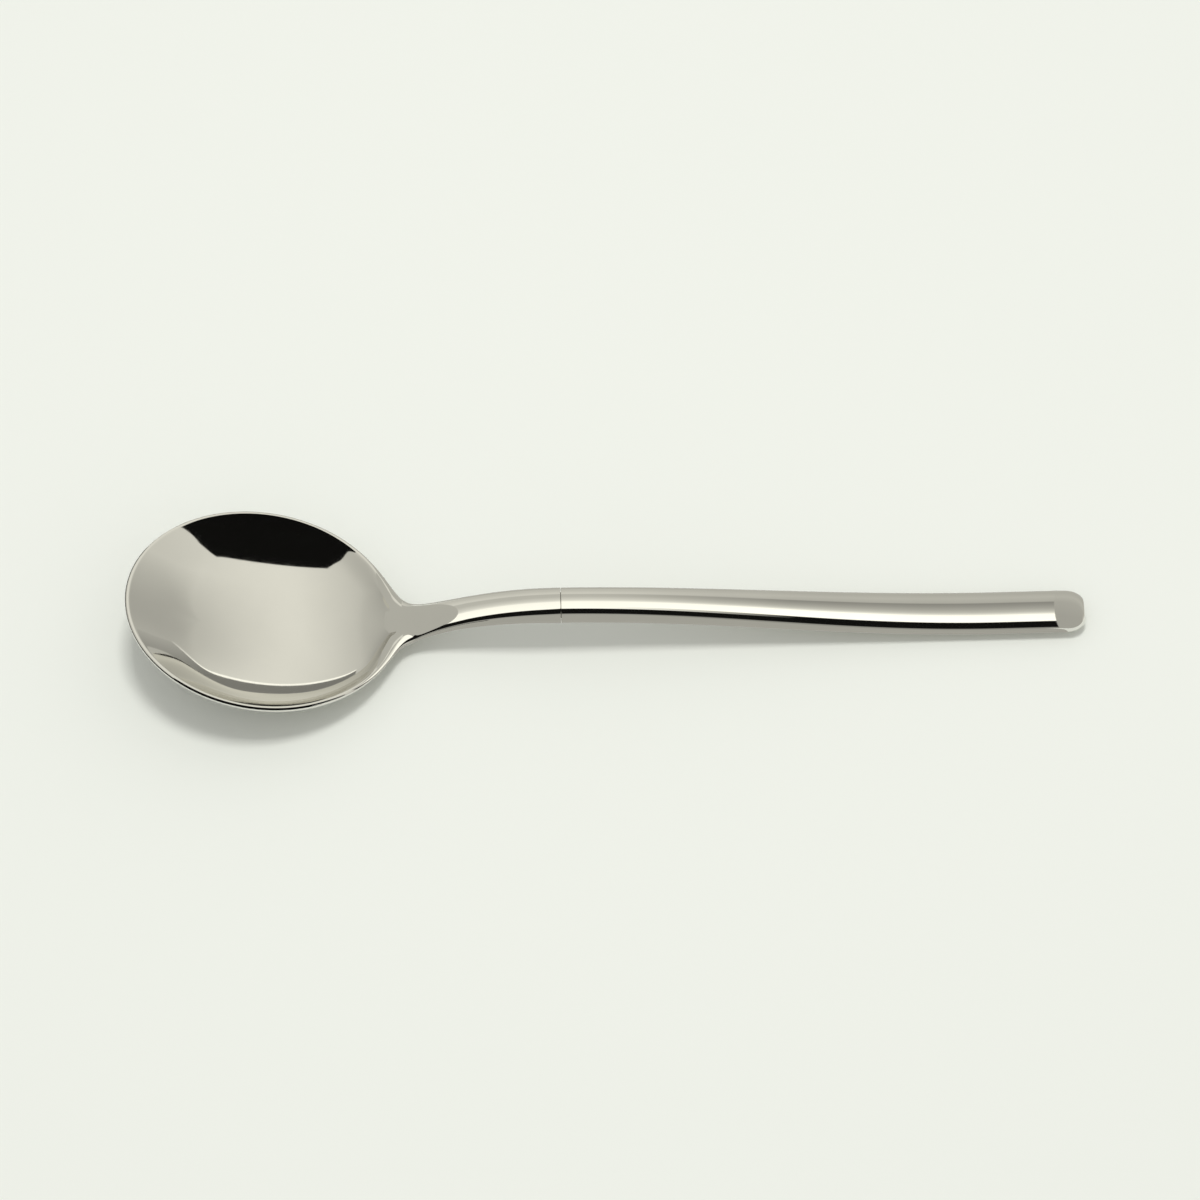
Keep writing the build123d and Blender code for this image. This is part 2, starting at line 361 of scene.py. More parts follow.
# %% Wall inside the rim
column_neck = neckness[:, None]
sideness = np.where(outline_x < bowl_x, np.minimum(outline_y / half_width, 1) ** 2, 1)[:, None]
wall_reach = tip_reach + (side_reach - tip_reach) * sideness
wall_share = np.clip((head_in - rim_land) / wall_reach, 0, 1)
quick_drop, slow_drop = 1 - (1 - wall_share) ** 3, ease(wall_share)
steep = (sideness * quick_drop + (1 - sideness) * slow_drop) * (1 - column_neck)
inner_dish = dish_height(head_x, head_y, half_width - rim_land, bowl_depth - rim_wall, 0)
outer_dish = dish_height(head_x, head_y, half_width, outer_sag - rim_wall, rim_band)
drop = steep * outer_dish.min()
inner_dish, outer_dish = inner_dish - drop, outer_dish - drop
print("the wall drops by", round(float(drop.max()), 2), "mm")

# %% [markdown]
# Round the bowl the body is a rim with a short upright flank and a rounded crown. Along the neck it is a
# crowned bar. The upper face is the soft smaller one of body and dish, and the lower face likewise. The
# softness grows towards the heel, where the dish fades out. Right at the edge both faces close on the
# same line.

# %% Upper and lower face of the head
top_blend, top_heel_blend, low_blend, low_heel_blend = 0.06, 1.6, 0.05, 2.0
soft_from_middle, soft_before_heel, nearly_full = 10.0, 8.0, 0.98
neck_close, rim_extra_close = 0.12, 0.1
half_thick = (neck_thickness(outline_x) / 2)[:, None]
edge_z = edge_height(head_x)
full_round = (nearly_full * reach * square_on)[:, None]
crown = rim_crown + (half_thick - rim_crown) * column_neck
belly = rim_belly + (half_thick - rim_belly) * column_neck
flank = rim_flank * (1 - column_neck)
edge_round = round_over(head_in, rim_turn + (full_round - rim_turn) * column_neck)
body_top = edge_z + flank * round_over(head_in, flank_turn) + (crown - flank) * edge_round
body_low = edge_z - belly * edge_round
heel_soft = ease((head_x - (bowl_x + soft_from_middle)) / (bowl_half_span - soft_before_heel))
head_top = soft_min(body_top, inner_dish, top_blend + top_heel_blend * heel_soft)
head_low = soft_min(body_low, outer_dish, low_blend + low_heel_blend * heel_soft)
close = round_over(head_in, neck_close + rim_extra_close * (1 - column_neck))
head_top = edge_z + (head_top - edge_z) * np.where(head_top < edge_z, close, 1)
head_low = edge_z + (head_low - edge_z) * close
middle = np.searchsorted(outline_x, bowl_x), head_x.shape[1] // 2
print("thickness in the middle of the bowl:", round(float(head_top[middle] - head_low[middle]), 2))

# %% [markdown]
# Where the dish fades into the neck, the slope along the spine dips and rises again, and a mirror shows
# that as a light band. So near the spine a cubic bridges the heel. Further out it gives way to the faces
# as they are.


# %% Bridge across the heel
def bridge(heights):
    """A cubic along the spoon across the heel that keeps the height and the slope at both of its ends."""
    first, last = np.searchsorted(outline_x, [heel_x + bridge_start, heel_x + bridge_end])
    slope = np.gradient(heights, outline_x, axis=0)
    span = outline_x[last] - outline_x[first]
    t = ((outline_x[first:last + 1] - outline_x[first]) / span)[:, None]
    step = t * t * (3 - 2 * t)
    start_bend, end_bend = t * (1 - t) ** 2 * span, t * t * (t - 1) * span
    bridged = heights.copy()
    bridged[first:last + 1] = heights[first] + (heights[last] - heights[first]) * step
    bridged[first:last + 1] += slope[first] * start_bend + slope[last] * end_bend
    return bridged


near_spine = ease(head_share / bridge_edge)
head_top = head_top + near_spine * (bridge(head_top) - head_top)
head_low = head_low + near_spine * (bridge(head_low) - head_low)
lowest, highest = float(head_low.min()), float(head_top.max())
print("lowest point of the head:", round(lowest, 3), "highest:", round(highest, 3))

# %% [markdown]
# Behind the shoulder the head steps down to a short spigot and a notched tang, which the handle hides.
# They are one row of closed rings, carried along the handle's middle line. The tang is drawn a hair
# smaller than its hole in the cement, so that the two never share a face.

# %% Rings behind the shoulder
tang_share, corner_power, tang_stations, plate_clearance = 0.97, 8, 69, 0.01
last_top = np.stack([head_x[-1], head_y[-1], head_top[-1]], axis=1)
last_low = np.stack([head_x[-1], head_y[-1], head_low[-1]], axis=1)
shoulder_ring = np.concatenate([last_top, last_low[-2::-1]])
ring_angle = np.arctan2(shoulder_ring[:, 2] - handle_height(shoulder_x), shoulder_ring[:, 1])


def round_ring(x, radius):
    """A circle about the handle's middle line, with the same angles as the shoulder's points."""
    y, z = radius * np.cos(ring_angle), radius * np.sin(ring_angle)
    return np.stack([np.full_like(y, x), y, handle_height(x) + z], axis=-1)


def tang_ring(x):
    """A rounded flat bar that tapers to its tip, with round notches cut into both edges."""
    share = (x - seam_x) / (tang_end_x - seam_x)
    half_w = (tang_width + (tang_tip_width - tang_width) * share) / 2
    half_t = (tang_thickness + (tang_tip_thickness - tang_thickness) * share) / 2
    start = plate_x + mouth_plate_thickness
    pitch = (tang_end_x - start) / (notch_pairs + 1)
    from_notch = np.mod(x - start + pitch / 2, pitch) - pitch / 2
    inside = (x > start + pitch / 2) & (x < tang_end_x - pitch / 2)
    bite = np.where(inside, np.sqrt(np.maximum(notch_radius**2 - from_notch**2, 0)), 0)
    across, upwards = np.cos(ring_angle), np.sin(ring_angle)
    corner = (np.abs(across) ** corner_power + np.abs(upwards) ** corner_power) ** (-1 / corner_power)
    y = tang_share * (half_w - bite) * across * corner
    z = tang_share * half_t * upwards * corner
    return np.stack([np.full_like(y, x), y, handle_height(x) + z], axis=-1)


print("points in a ring:", len(ring_angle), "notch pairs:", notch_pairs)

# %% [markdown]
# All of the head's patches come together: the upper and lower face, the small chamfer at the seam, the
# face behind it, the spigot, and the tang, which closes to a point.

# %% Head in one mesh
spigot_radius = mouth_radius - shell_wall - fit_clearance
top_grid = np.stack([head_x, head_y, head_top], axis=2)
low_grid = np.stack([head_x, head_y, head_low], axis=2)
chamfer_rings = np.stack([shoulder_ring, round_ring(face_x, mouth_radius - line_chamfer)])
face_rings = np.stack([chamfer_rings[1], round_ring(face_x, spigot_radius)])
spigot_rings = np.stack([face_rings[1], round_ring(plate_x - plate_clearance, spigot_radius)])
tang_bars = [tang_ring(x) for x in np.linspace(plate_x, tang_end_x, tang_stations)]
tang_tip = np.broadcast_to([tang_end_x, 0, handle_height(tang_end_x)], shoulder_ring.shape)
tang_rings = np.stack([spigot_rings[1]] + tang_bars + [tang_tip])
head = make_piece("spoon_head", [
    (top_grid, False, True), (low_grid, True, True), (chamfer_rings, False, False),
    (face_rings, False, False), (spigot_rings, False, False), (tang_rings, False, False),
])
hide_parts("bowl_and_neck")

# %% [markdown]
# The handle is two pressed half shells, welded along the sides and polished until the joint can't be
# seen. Each shell is a half oval carried along the handle's line. It flattens towards the end and rounds
# off in a nose.


# %% Shape of the handle
def left_at_nose(x, length):
    """Root of 1 minus the squared share of the nose's length that is already past."""
    past = np.clip((x - (end_x - length)) / length, 0, 1)
    return np.sqrt(1 - past**2)


def handle_shape(x):
    """Half width, crown and belly at x: eased from round mouth to flat end, then drawn in at the nose."""
    flat = ease((x - seam_x) / (rest_x - seam_x))
    half = mouth_radius + (handle_end_width / 2 - mouth_radius) * flat
    crown = mouth_radius + (handle_end_crown - mouth_radius) * flat
    belly = mouth_radius + (handle_end_belly - mouth_radius) * flat
    corner, roll = left_at_nose(x, nose_corner_length), left_at_nose(x, nose_roll_length)
    half = nose_width / 2 + (half - nose_width / 2) * corner
    crown = nose_crown + (crown - nose_crown) * roll
    belly = nose_belly + (belly - nose_belly) * roll
    return half, crown, belly


shape_at_rest = [round(float(size), 2) for size in handle_shape(rest_x)]
print("half width, crown and belly where the handle rests:", shape_at_rest)

# %% [markdown]
# A shell's inner face is the same half oval, drawn in by the thickness of the sheet. A lip at the mouth
# and the two flat joint faces close it, and both faces run to a point at the nose.


# %% Two half shells
def shell_grid(places, inset, shrink, upper):
    """Half ovals at the given places, drawn in by the inset, and shrunk to the middle line by a share."""
    half, crown, belly = handle_shape(places)
    angle = np.linspace(0, pi, 49)
    rise = (crown if upper else belly) - inset
    y = -((half - inset) * shrink)[:, None] * np.cos(angle)
    z = (rise * shrink)[:, None] * np.sin(angle) * (1 if upper else -1)
    x = np.broadcast_to(places[:, None], y.shape)
    return np.stack([x, y, handle_height(places)[:, None] + z], axis=2)


def shell_faces(upper):
    """Outer face with sine-spaced places and a round end, and inner face that stops an end wall earlier."""
    stations, dome_stations = 160, 12
    whole, steps = np.ones(stations), np.sin(np.linspace(0, pi / 2, stations))
    dome = np.linspace(0, pi / 2, dome_stations)[1:]
    dome_x, inner_end_x = end_x - nose_dome, end_x - end_wall
    outer_places = np.append(lip_x + (dome_x - lip_x) * steps, dome_x + nose_dome * np.sin(dome))
    inner_places = np.append(lip_x + (inner_end_x - lip_x) * steps, np.full(len(dome), inner_end_x))
    inner_shrink = np.append(whole, np.linspace(1, 0, dome_stations)[1:])
    outer = shell_grid(outer_places, 0, np.append(whole, np.cos(dome)), upper)
    return outer, shell_grid(inner_places, shell_wall, inner_shrink, upper)


def make_shell(name, node, upper):
    """Outer face, lip, mouth, throat, inner face and the two joint faces of a half shell."""
    outer, inner = shell_faces(upper)
    mouth_place, whole = np.array([mouth_x]), np.ones(1)
    lip = np.stack([shell_grid(mouth_place, line_chamfer, whole, upper)[0], outer[0]])
    mouth = np.stack([shell_grid(mouth_place, shell_wall, whole, upper)[0], lip[0]])
    throat = np.stack([inner[0], mouth[0]])
    inner_edges, outer_edges = np.concatenate([mouth[:1], inner]), np.concatenate([lip[:1], outer])
    near, far = [np.stack([inner_edges[:, side], outer_edges[:, side]]) for side in (0, -1)]
    turned = not upper
    shell = make_piece(name, [
        (outer, turned, True), (lip, turned, False), (mouth, turned, False), (throat, turned, False),
        (inner, not turned, True), (near, not turned, False), (far, turned, False),
    ])
    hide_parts(node)
    return shell


upper_shell = make_shell("handle_upper", "handle_upper_shell", True)
lower_shell = make_shell("handle_lower", "handle_lower_shell", False)

# %% [markdown]
# Materials are made of nodes. Two short helpers start a material and fill a colour ramp.


# %% Helpers for materials
def new_material(name):
    """A node material, with its nodes and its links at hand."""
    material = bpy.data.materials.new(name)
    material.use_nodes = True
    return material, material.node_tree.nodes, material.node_tree.links


def ramp_node(nodes, stops):
    """A colour ramp through the given places and colours, from place 0 to place 1."""
    ramp = nodes.new("ShaderNodeValToRGB")
    points = ramp.color_ramp.elements
    for place, _ in stops[1:-1]:
        points.new(place)
    for point, (place, colour) in zip(points, stops):
        point.position = place
        point.color = (*colour, 1)
    return ramp


print("materials so far:", len(bpy.data.materials))

# %% [markdown]
# Polished stainless steel is a mirror with a slightly warm, pale grey tint. Close up it has faint
# polishing lines along the spoon and a soft cloudiness, so roughness and tint change a little over the
# surface. The patterns read Object coordinates, so they stay on the steel.


# %% Polished steel
def polished_steel(name, low_tint, high_tint, low_rough, high_rough):
    """Mirror steel: a cloudy tint, and fine lines along X between a lower and a higher roughness."""
    material, nodes, links = new_material(name)
    shader = nodes["Principled BSDF"]
    shader.inputs["Metallic"].default_value = 1.0
    place = nodes.new("ShaderNodeTexCoord")
    cloud = nodes.new("ShaderNodeTexNoise")
    cloud.inputs["Scale"].default_value = 60.0
    cloud.inputs["Detail"].default_value = 4.0
    tint = ramp_node(nodes, [(0, low_tint), (0.3, low_tint), (0.7, high_tint), (1, high_tint)])
    long_lines = nodes.new("ShaderNodeMapping")
    long_lines.inputs["Scale"].default_value = (40.0, 2500.0, 2500.0)
    lines = nodes.new("ShaderNodeTexNoise")
    lines.inputs["Scale"].default_value = 1.0
    lines.inputs["Detail"].default_value = 3.0
    rough = nodes.new("ShaderNodeMapRange")
    rough.inputs["From Min"].default_value = 0.3
    rough.inputs["From Max"].default_value = 0.7
    rough.inputs["To Min"].default_value = low_rough
    rough.inputs["To Max"].default_value = high_rough
    links.new(place.outputs["Object"], cloud.inputs["Vector"])
    links.new(cloud.outputs["Fac"], tint.inputs["Fac"])
    links.new(tint.outputs["Color"], shader.inputs["Base Color"])
    links.new(place.outputs["Object"], long_lines.inputs["Vector"])
    links.new(long_lines.outputs["Vector"], lines.inputs["Vector"])
    links.new(lines.outputs["Fac"], rough.inputs["Value"])
    links.new(rough.outputs["Result"], shader.inputs["Roughness"])
    return material


steel = polished_steel("polished_steel", (0.76, 0.752, 0.714), (0.8, 0.792, 0.753), 0.03, 0.06)
for piece in (head, upper_shell, lower_shell):
    piece.data.materials.append(steel)
print("polished steel on", head.name, upper_shell.name, lower_shell.name)

# %% [markdown]
# Two pieces stay hidden inside the handle: the rolled steel plate in its mouth and the grey cement round
# the tang. They keep the solid model's own meshes, and get the finish that they have in the workshop.


# %% Hidden plate and cement
def rough_cement(name):
    """Grey cement: one noise of many scales gives the grain's colour and, as a bump, its roughness."""
    material, nodes, links = new_material(name)
    shader = nodes["Principled BSDF"]
    shader.inputs["Roughness"].default_value = 0.9
    place = nodes.new("ShaderNodeTexCoord")
    grain = nodes.new("ShaderNodeTexNoise")
    grain.inputs["Scale"].default_value = 900.0
    grain.inputs["Detail"].default_value = 6.0
    tint = ramp_node(nodes, [(0, (0.28, 0.25, 0.22)), (0.3, (0.34, 0.31, 0.27)), (1, (0.56, 0.53, 0.47))])
    bump = nodes.new("ShaderNodeBump")
    bump.inputs["Strength"].default_value = 0.4
    bump.inputs["Distance"].default_value = 0.0002
    links.new(place.outputs["Object"], grain.inputs["Vector"])
    links.new(grain.outputs["Fac"], tint.inputs["Fac"])
    links.new(tint.outputs["Color"], shader.inputs["Base Color"])
    links.new(grain.outputs["Fac"], bump.inputs["Height"])
    links.new(bump.outputs["Normal"], shader.inputs["Normal"])
    return material


def dress_node(node, material):
    """Puts one material on a carried-over node."""
    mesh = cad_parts[node].data
    mesh.materials.clear()
    mesh.materials.append(material)


rolled_steel = polished_steel("rolled_steel", (0.54, 0.53, 0.5), (0.62, 0.61, 0.58), 0.3, 0.5)
dress_node("handle_mouth_plate", rolled_steel)
dress_node("tang_cement", rough_cement("tang_cement"))
print("hidden nodes dressed")

# %% [markdown]
# The stage is a plain pale table under a soft studio light. A mirror is drawn by what stands round it, so
# the room matters more than the lamp. Table and cards aren't part of the spoon.


# %% Table
def stage_sheet(name, points):
    """A grid of points in metres as a mesh, with UV running from 0 to 1 along both of its directions."""
    rows, columns = points.shape[:2]
    mesh = bpy.data.meshes.new(name)
    mesh.from_pydata(points.reshape(-1, 3).tolist(), [], grid_faces(rows, columns, 0, False).tolist())
    u, v = np.meshgrid(np.linspace(0, 1, rows), np.linspace(0, 1, columns), indexing="ij")
    corner = np.empty(len(mesh.loops), int)
    mesh.loops.foreach_get("vertex_index", corner)
    uv = np.stack([u, v], axis=2).reshape(-1, 2)[corner]
    mesh.uv_layers.new(name="UVMap").data.foreach_set("uv", uv.reshape(-1))
    sheet = bpy.data.objects.new(name, mesh)
    bpy.context.scene.collection.objects.link(sheet)
    return sheet


table_x, table_y = np.meshgrid([-3.0, 3.0], [-3.0, 3.0], indexing="ij")
table = stage_sheet("table", np.stack([table_x, table_y, np.zeros_like(table_x)], axis=2))
table_paint, nodes, links = new_material("pale_table")
nodes["Principled BSDF"].inputs["Base Color"].default_value = (0.87, 0.89, 0.82, 1)
nodes["Principled BSDF"].inputs["Roughness"].default_value = 0.9
nodes["Principled BSDF"].inputs["Specular IOR Level"].default_value = 0.0
table.data.materials.append(table_paint)
print("table", table.dimensions[:], "m")

# %% [markdown]
# In the steel the room is a warm white. It is brightest along a broad band overhead and falls off towards
# the left and right, and most in the far corners. That gives the bowl its soft round shading.

# %% Room in the steel
room_tint = (0.9, 0.888, 0.804)
room_levels = [(0, 0.5), (0.095, 0.57), (0.225, 0.63), (0.335, 0.765), (0.5, 0.91), (0.61, 1), (0.75, 0.94),
               (0.87, 0.85), (0.95, 0.79), (1, 0.71)]


def room_white(level):
    """The room's warm white at a brightness."""
    return tuple(level * share for share in room_tint)


world = bpy.data.worlds.new("white_room")
bpy.context.scene.world = world
world.use_nodes = True
nodes, links = world.node_tree.nodes, world.node_tree.links
mirrored_room = nodes.new("ShaderNodeBackground")
direction = nodes.new("ShaderNodeTexCoord")
parts = nodes.new("ShaderNodeSeparateXYZ")
sideways = nodes.new("ShaderNodeMapRange")
sideways.inputs["From Min"].default_value = -1.0
room_ramp = ramp_node(nodes, [(place, room_white(level)) for place, level in room_levels])
room_ramp.color_ramp.interpolation = "B_SPLINE"
to_side, to_corner = nodes.new("ShaderNodeMath"), nodes.new("ShaderNodeMath")
to_side.operation, to_corner.operation = "MULTIPLY", "MULTIPLY"
corner_level = nodes.new("ShaderNodeMapRange")
corner_level.inputs["From Max"].default_value = 0.4
corner_level.inputs["To Min"].default_value = 1.023
corner_level.inputs["To Max"].default_value = 0.573
links.new(direction.outputs["Generated"], parts.inputs["Vector"])
links.new(parts.outputs["X"], sideways.inputs["Value"])
links.new(sideways.outputs["Result"], room_ramp.inputs["Fac"])
links.new(room_ramp.outputs["Color"], mirrored_room.inputs["Color"])
links.new(parts.outputs["X"], to_side.inputs[0])
links.new(parts.outputs["X"], to_side.inputs[1])
links.new(to_side.outputs["Value"], to_corner.inputs[0])
links.new(parts.outputs["Y"], to_corner.inputs[1])
links.new(to_corner.outputs["Value"], corner_level.inputs["Value"])
links.new(corner_level.outputs["Result"], mirrored_room.inputs["Strength"])
print("brightness of the mirrored room at", len(room_levels), "places from left to right")

# %% [markdown]
# The room has two more jobs, and a background for each. As light on the table it is an even white, and
# straight into the camera it is plain white. The kind of ray tells which background is used.

# %% Room for the table and the camera
fill_light = nodes["Background"]
fill_light.inputs["Color"].default_value = (1, 1, 1, 1)
fill_light.inputs["Strength"].default_value = 0.63
white_backdrop = nodes.new("ShaderNodeBackground")
white_backdrop.inputs["Color"].default_value = (1, 1, 1, 1)
path = nodes.new("ShaderNodeLightPath")
steel_or_fill, camera_or_room = nodes.new("ShaderNodeMixShader"), nodes.new("ShaderNodeMixShader")
links.new(path.outputs["Is Glossy Ray"], steel_or_fill.inputs["Fac"])
links.new(fill_light.outputs["Background"], steel_or_fill.inputs[1])
links.new(mirrored_room.outputs["Background"], steel_or_fill.inputs[2])
links.new(path.outputs["Is Camera Ray"], camera_or_room.inputs["Fac"])
links.new(steel_or_fill.outputs["Shader"], camera_or_room.inputs[1])
links.new(white_backdrop.outputs["Background"], camera_or_room.inputs[2])
links.new(camera_or_room.outputs["Shader"], nodes["World Output"].inputs["Surface"])
print("fill light on the table:", round(fill_light.inputs["Strength"].default_value, 2))

# %% [markdown]
# One soft box hangs overhead, so the shadow lies close under the spoon. The steel doesn't mirror it.

# %% Lamp
soft_box = bpy.data.lights.new("soft_box", "AREA")
soft_box.size = 0.26
soft_box.energy = 5.5
lamp = bpy.data.objects.new("soft_box", soft_box)
lamp.location = (0.0, 0.12, 1.2)
lamp.visible_glossy = False
bpy.context.scene.collection.objects.link(lamp)
print("soft box", soft_box.size, "m wide, overhead at", lamp.location[:])

# %% [markdown]
# Photographers of cutlery put papers and boards round it, which only the mirror shows. Here they glow by
# themselves. They are hidden from the camera, and throw neither light nor shadow on the table.


# %% Papers
paper_strength = 1.765


def show_in_mirror_only(card, material):
    """Gives a card its paper, and hides it from the camera, the table and the lamp."""
    card.data.materials.append(material)
    card.visible_camera = False
    card.visible_diffuse = False
    card.visible_shadow = False


def level_ramp(nodes, levels):
    """A ramp through pairs of place and brightness."""
    return ramp_node(nodes, [(place, room_white(level)) for place, level in levels])


def glowing_paper(name, levels, far_levels, far_start, far_full):
    """Paper whose brightness runs across it by V, from one row of levels to another further along U."""
    material, nodes, links = new_material(name)
    place, parts = nodes.new("ShaderNodeTexCoord"), nodes.new("ShaderNodeSeparateXYZ")
    near_ramp, far_ramp = level_ramp(nodes, levels), level_ramp(nodes, far_levels)
    share = nodes.new("ShaderNodeMapRange")
    share.inputs["From Min"].default_value = far_start
    share.inputs["From Max"].default_value = far_full
    mix = nodes.new("ShaderNodeMixRGB")
    glow = nodes.new("ShaderNodeEmission")
    glow.inputs["Strength"].default_value = paper_strength
    links.new(place.outputs["UV"], parts.inputs["Vector"])
    links.new(parts.outputs["Y"], near_ramp.inputs["Fac"])
    links.new(parts.outputs["Y"], far_ramp.inputs["Fac"])
    links.new(parts.outputs["X"], share.inputs["Value"])
    links.new(share.outputs["Result"], mix.inputs["Fac"])
    links.new(near_ramp.outputs["Color"], mix.inputs["Color1"])
    links.new(far_ramp.outputs["Color"], mix.inputs["Color2"])
    links.new(mix.outputs["Color"], glow.inputs["Color"])
    links.new(glow.outputs["Emission"], nodes["Material Output"].inputs["Surface"])
    return material


def even_paper(name, level):
    """Paper of one brightness."""
    levels = [(0, level), (1, level)]
    return glowing_paper(name, levels, levels, 0, 1)


dark_paper = even_paper("dark_paper", 0.003)
print("papers glow with a strength of", paper_strength)

# %% [markdown]
# A half tube of paper follows the handle. Across the tube the paper runs from grey to white, and ends in
# a dark strip on the near side. The round handle mirrors all of that as its pale flank, its white
# highlight and the thin black line under it.

# %% Card over the handle
tube_start, tube_end, tube_radius = -41.0, 91.5, 20.0
end_levels_start, end_levels_full = 0.32, 0.62
near_levels = [(0, 0.4), (0.09, 0.4), (0.24, 0.48), (0.262, 0.48), (0.275, 0.37), (0.367, 0.38),
               (0.474, 0.5), (0.52, 0.62), (0.55, 0.8), (0.772, 0.85), (0.785, 0.004), (0.95, 0.004),
               (0.97, 0.25), (1, 0.25)]
end_levels = [(0, 0.32), (0.167, 0.37), (0.28, 0.33), (0.3, 0.2), (0.36, 0.24), (0.43, 0.31),
              (0.49, 0.42), (0.525, 0.6), (0.555, 0.9), (0.714, 0.95), (0.727, 0.004), (0.93, 0.004),
              (0.955, 0.22), (1, 0.22)]


def half_tube(name, places, angles):
    """Radius times sine across and cosine upwards, about the handle's line and straight on past it."""
    x, angle = np.meshgrid(places, np.radians(np.linspace(-90, 90, angles)), indexing="ij")
    middle = np.where(x < rest_x, edge_height(np.minimum(x, rest_x)), handle_end_belly)
    points = [x, -tube_radius * np.sin(angle), middle + tube_radius * np.cos(angle)]
    return stage_sheet(name, np.stack(points, axis=2) * millimetre)


tube_paper = glowing_paper("card_over_handle", near_levels, end_levels, end_levels_start, end_levels_full)
show_in_mirror_only(half_tube("card_over_handle", np.linspace(tube_start, tube_end, 90), 91), tube_paper)
print("tube over the handle from X", tube_start, "to", tube_end, "mm, radius", tube_radius)

# %% [markdown]
# Two grey papers stand across the spoon where the bowl begins, and give the neck its even grey. The first
# closes the tube, except on its near side. The second is larger and stands nearer to the bowl. It is
# clear from its back, so the bowl doesn't show it.

# %% Papers across the neck
neck_level, hole_radius, tube_paper_near_angle = 0.325, 1.0, 50
heel_paper_x, heel_paper_radius, heel_paper_near_angle = -46.0, 26.0, 90


def end_paper(name, x, radius, near_angle):
    """A half disc across the spoon at x, above its edge line, from the far side round to a near angle."""
    angles = np.radians(np.linspace(-90, near_angle, 46))
    ring, angle = np.meshgrid([hole_radius, radius], angles, indexing="ij")
    middle = edge_height(np.array(x))
    points = [np.full_like(ring, x), -ring * np.sin(angle), middle + ring * np.cos(angle)]
    return stage_sheet(name, np.stack(points, axis=2) * millimetre)


def one_sided_paper(name, level):
    """Paper of one brightness that is clear when it is looked at from its back."""
    material, nodes, links = new_material(name)
    side, glow = nodes.new("ShaderNodeNewGeometry"), nodes.new("ShaderNodeEmission")
    clear, either = nodes.new("ShaderNodeBsdfTransparent"), nodes.new("ShaderNodeMixShader")
    glow.inputs["Color"].default_value = (*room_white(level), 1)
    glow.inputs["Strength"].default_value = paper_strength
    links.new(side.outputs["Backfacing"], either.inputs["Fac"])
    links.new(glow.outputs["Emission"], either.inputs[1])
    links.new(clear.outputs["BSDF"], either.inputs[2])
    links.new(either.outputs["Shader"], nodes["Material Output"].inputs["Surface"])
    return material


tube_end_paper = end_paper("tube_end_paper", tube_start, tube_radius, tube_paper_near_angle)
heel_paper = end_paper("heel_paper", heel_paper_x, heel_paper_radius, heel_paper_near_angle)
show_in_mirror_only(tube_end_paper, even_paper("tube_end_paper", neck_level))
show_in_mirror_only(heel_paper, one_sided_paper("heel_paper", neck_level))
print("papers across the neck at X", tube_start, "and", heel_paper_x)

# %% [markdown]
# A dark board stands before the bowl, and a low grey one with a pale upper edge behind it. The hollow
# shows them as the dark patch on its far wall and the grey sickle on its near wall. A low dark wall runs
# round the bowl's near and left side. It draws the fine dark line along the rim.

# %% Boards round the bowl
sheet_lift = 0.15
dark_board_y, grey_board_y, grey_end_start = -60.0, 200.0, 0.6
dark_left, dark_right = [(-124, 20), (-116, 120), (-100, 260)], [(22, 20), (98, 120), (186, 311)]
grey_left, grey_right = [(-118, 0), (-118, 78)], [(110, 0), (110, 45)]
grey_levels = [(0, 0.145), (0.9, 0.145), (0.915, 0.8), (1, 0.8)]
grey_end_levels = [(0, 0.29), (0.9, 0.29), (0.915, 0.4), (1, 0.4)]
wall_inner, wall_outer, wall_height, wall_near_extra = 1.6, 2.7, 25.0, 30.0


def upright_board(name, y, left_edge, right_edge):
    """A flat board across the table at one Y, from the X and Z of its two edges, both from the bottom up."""
    edges = np.array([left_edge, right_edge])
    points = np.stack([edges[..., 0], np.full(edges.shape[:2], y), edges[..., 1]], axis=2)
    return stage_sheet(name, points * millimetre)


def low_wall(name):
    """A sheet on the table from one multiple of the bowl's oval to a larger one, where it turns upright."""
    angle = np.radians(np.linspace(-235, -60, 60))[:, None]
    size = np.array([wall_inner, wall_outer, wall_outer])
    upright = np.array([0, 0, 1])
    x = bowl_x + size * bowl_half_span * np.cos(angle)
    y = size * half_width * np.sin(angle)
    z = upright * (wall_height + wall_near_extra * np.maximum(-np.sin(angle), 0)) + sheet_lift
    return stage_sheet(name, np.stack([x, y, z], axis=2) * millimetre)


show_in_mirror_only(upright_board("dark_board", dark_board_y, dark_left, dark_right), dark_paper)
show_in_mirror_only(low_wall("low_dark_wall"), dark_paper)
grey_paper = glowing_paper("grey_board", grey_levels, grey_end_levels, grey_end_start, 1)
show_in_mirror_only(upright_board("grey_board", grey_board_y, grey_left, grey_right), grey_paper)
print("boards at Y", dark_board_y, "and", grey_board_y, "mm")

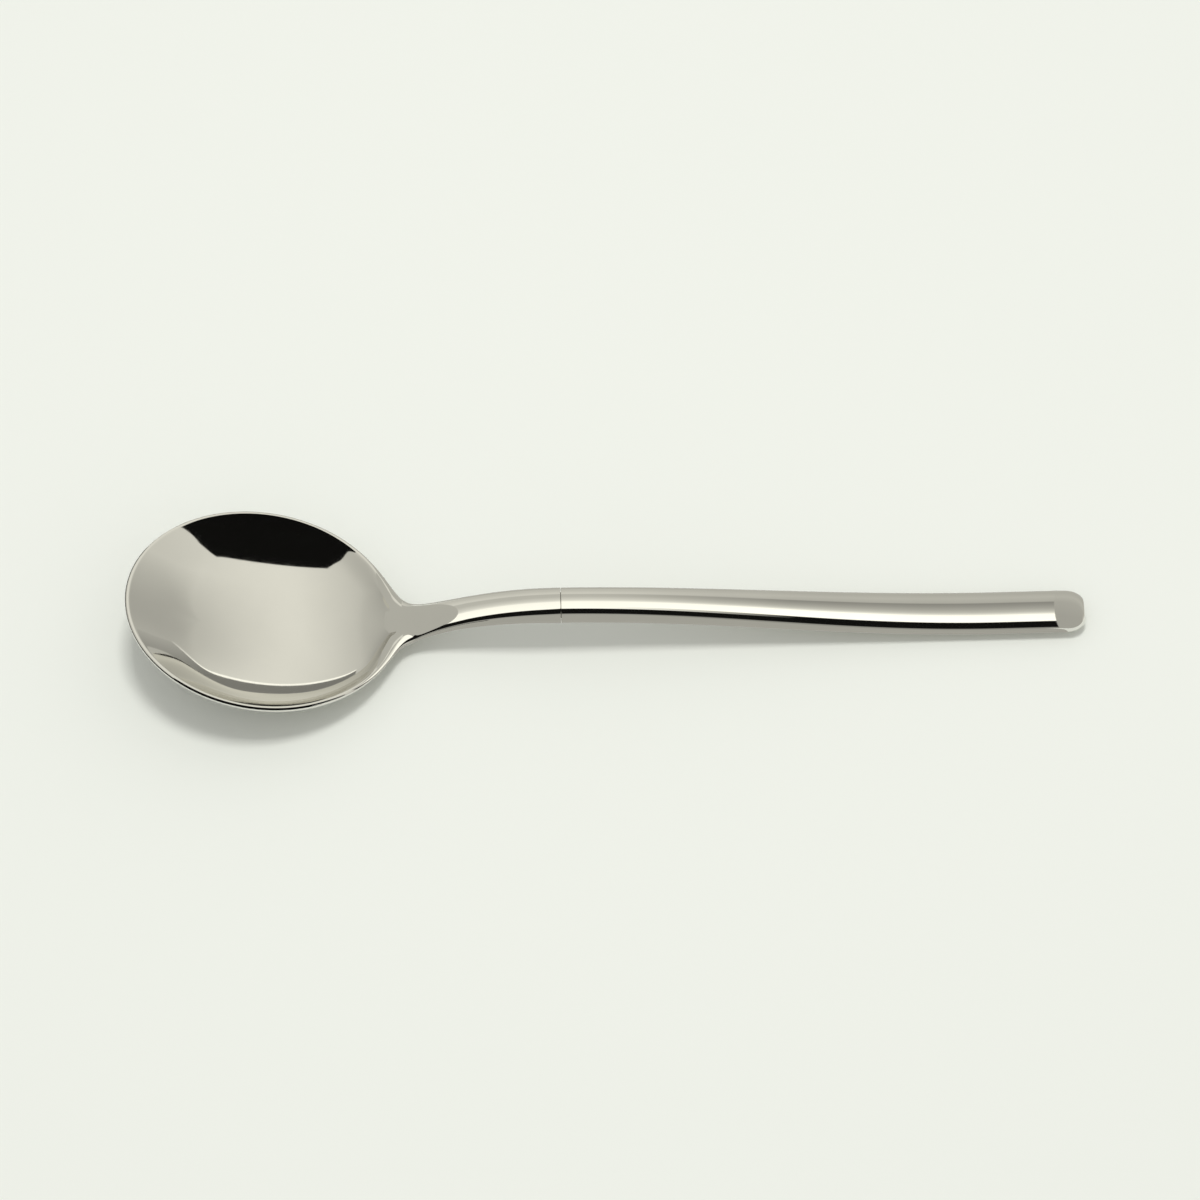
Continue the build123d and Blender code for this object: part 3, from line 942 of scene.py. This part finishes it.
# %% [markdown]
# Grey sheets on the table tone down the handle's lower flank, and a plain grey tube carries on past the
# handle's end, so that the nose mirrors an even grey.

# %% Sheets under the handle and card past its end
sheets_meet, near_sheet_edge, far_sheet_edge, far_sheet_end = 3.0, -150.0, 600.0, 400.0
past_end = 170.0
nose_levels = [(0, 0.32), (0.167, 0.36), (0.3, 0.31), (0.6, 0.285), (1, 0.285)]


def flat_paper(name, low_x, high_x, low_y, high_y):
    """A sheet of paper just above the table."""
    x, y = np.meshgrid([low_x, high_x], [low_y, high_y], indexing="ij")
    return stage_sheet(name, np.stack([x, y, np.full_like(x, sheet_lift)], axis=2) * millimetre)


near_ground = flat_paper("near_ground", tube_start, tube_end, near_sheet_edge, sheets_meet)
far_ground = flat_paper("far_ground", tube_start, far_sheet_end, sheets_meet, far_sheet_edge)
show_in_mirror_only(near_ground, even_paper("near_ground", 0.28))
show_in_mirror_only(far_ground, even_paper("far_ground", 0.33))
nose_paper = glowing_paper("card_past_end", nose_levels, nose_levels, 0, 1)
show_in_mirror_only(half_tube("card_past_end", [tube_end, past_end], 46), nose_paper)
print("grey sheets meet at Y", sheets_meet, "mm, and the tube goes on to X", past_end, "mm")

# %% [markdown]
# The camera stands about a metre away, 60 degrees above the table and almost square on to the spoon, with
# the bowl on the left. A long lens keeps the spoon's ends the same size.

# %% Camera
camera_turn, camera_rise = radians(1.69), radians(59.9)
camera_distance, camera_angle = 1.0, radians(13.57)
camera_target = Vector((-0.0016, 0.00214, 0.008))
backwards = Vector((
    -sin(camera_turn) * cos(camera_rise), -cos(camera_turn) * cos(camera_rise), sin(camera_rise)))
lens = bpy.data.cameras.new("camera")
lens.sensor_fit = "HORIZONTAL"
lens.angle = camera_angle
lens.clip_start = 0.05
camera = bpy.data.objects.new("camera", lens)
camera.location = camera_target + backwards * camera_distance
camera.rotation_euler = backwards.to_track_quat("Z", "Y").to_euler()
bpy.context.scene.collection.objects.link(camera)
bpy.context.scene.camera = camera
bpy.context.scene.view_settings.view_transform = "Standard"
print("camera at", camera.location[:])
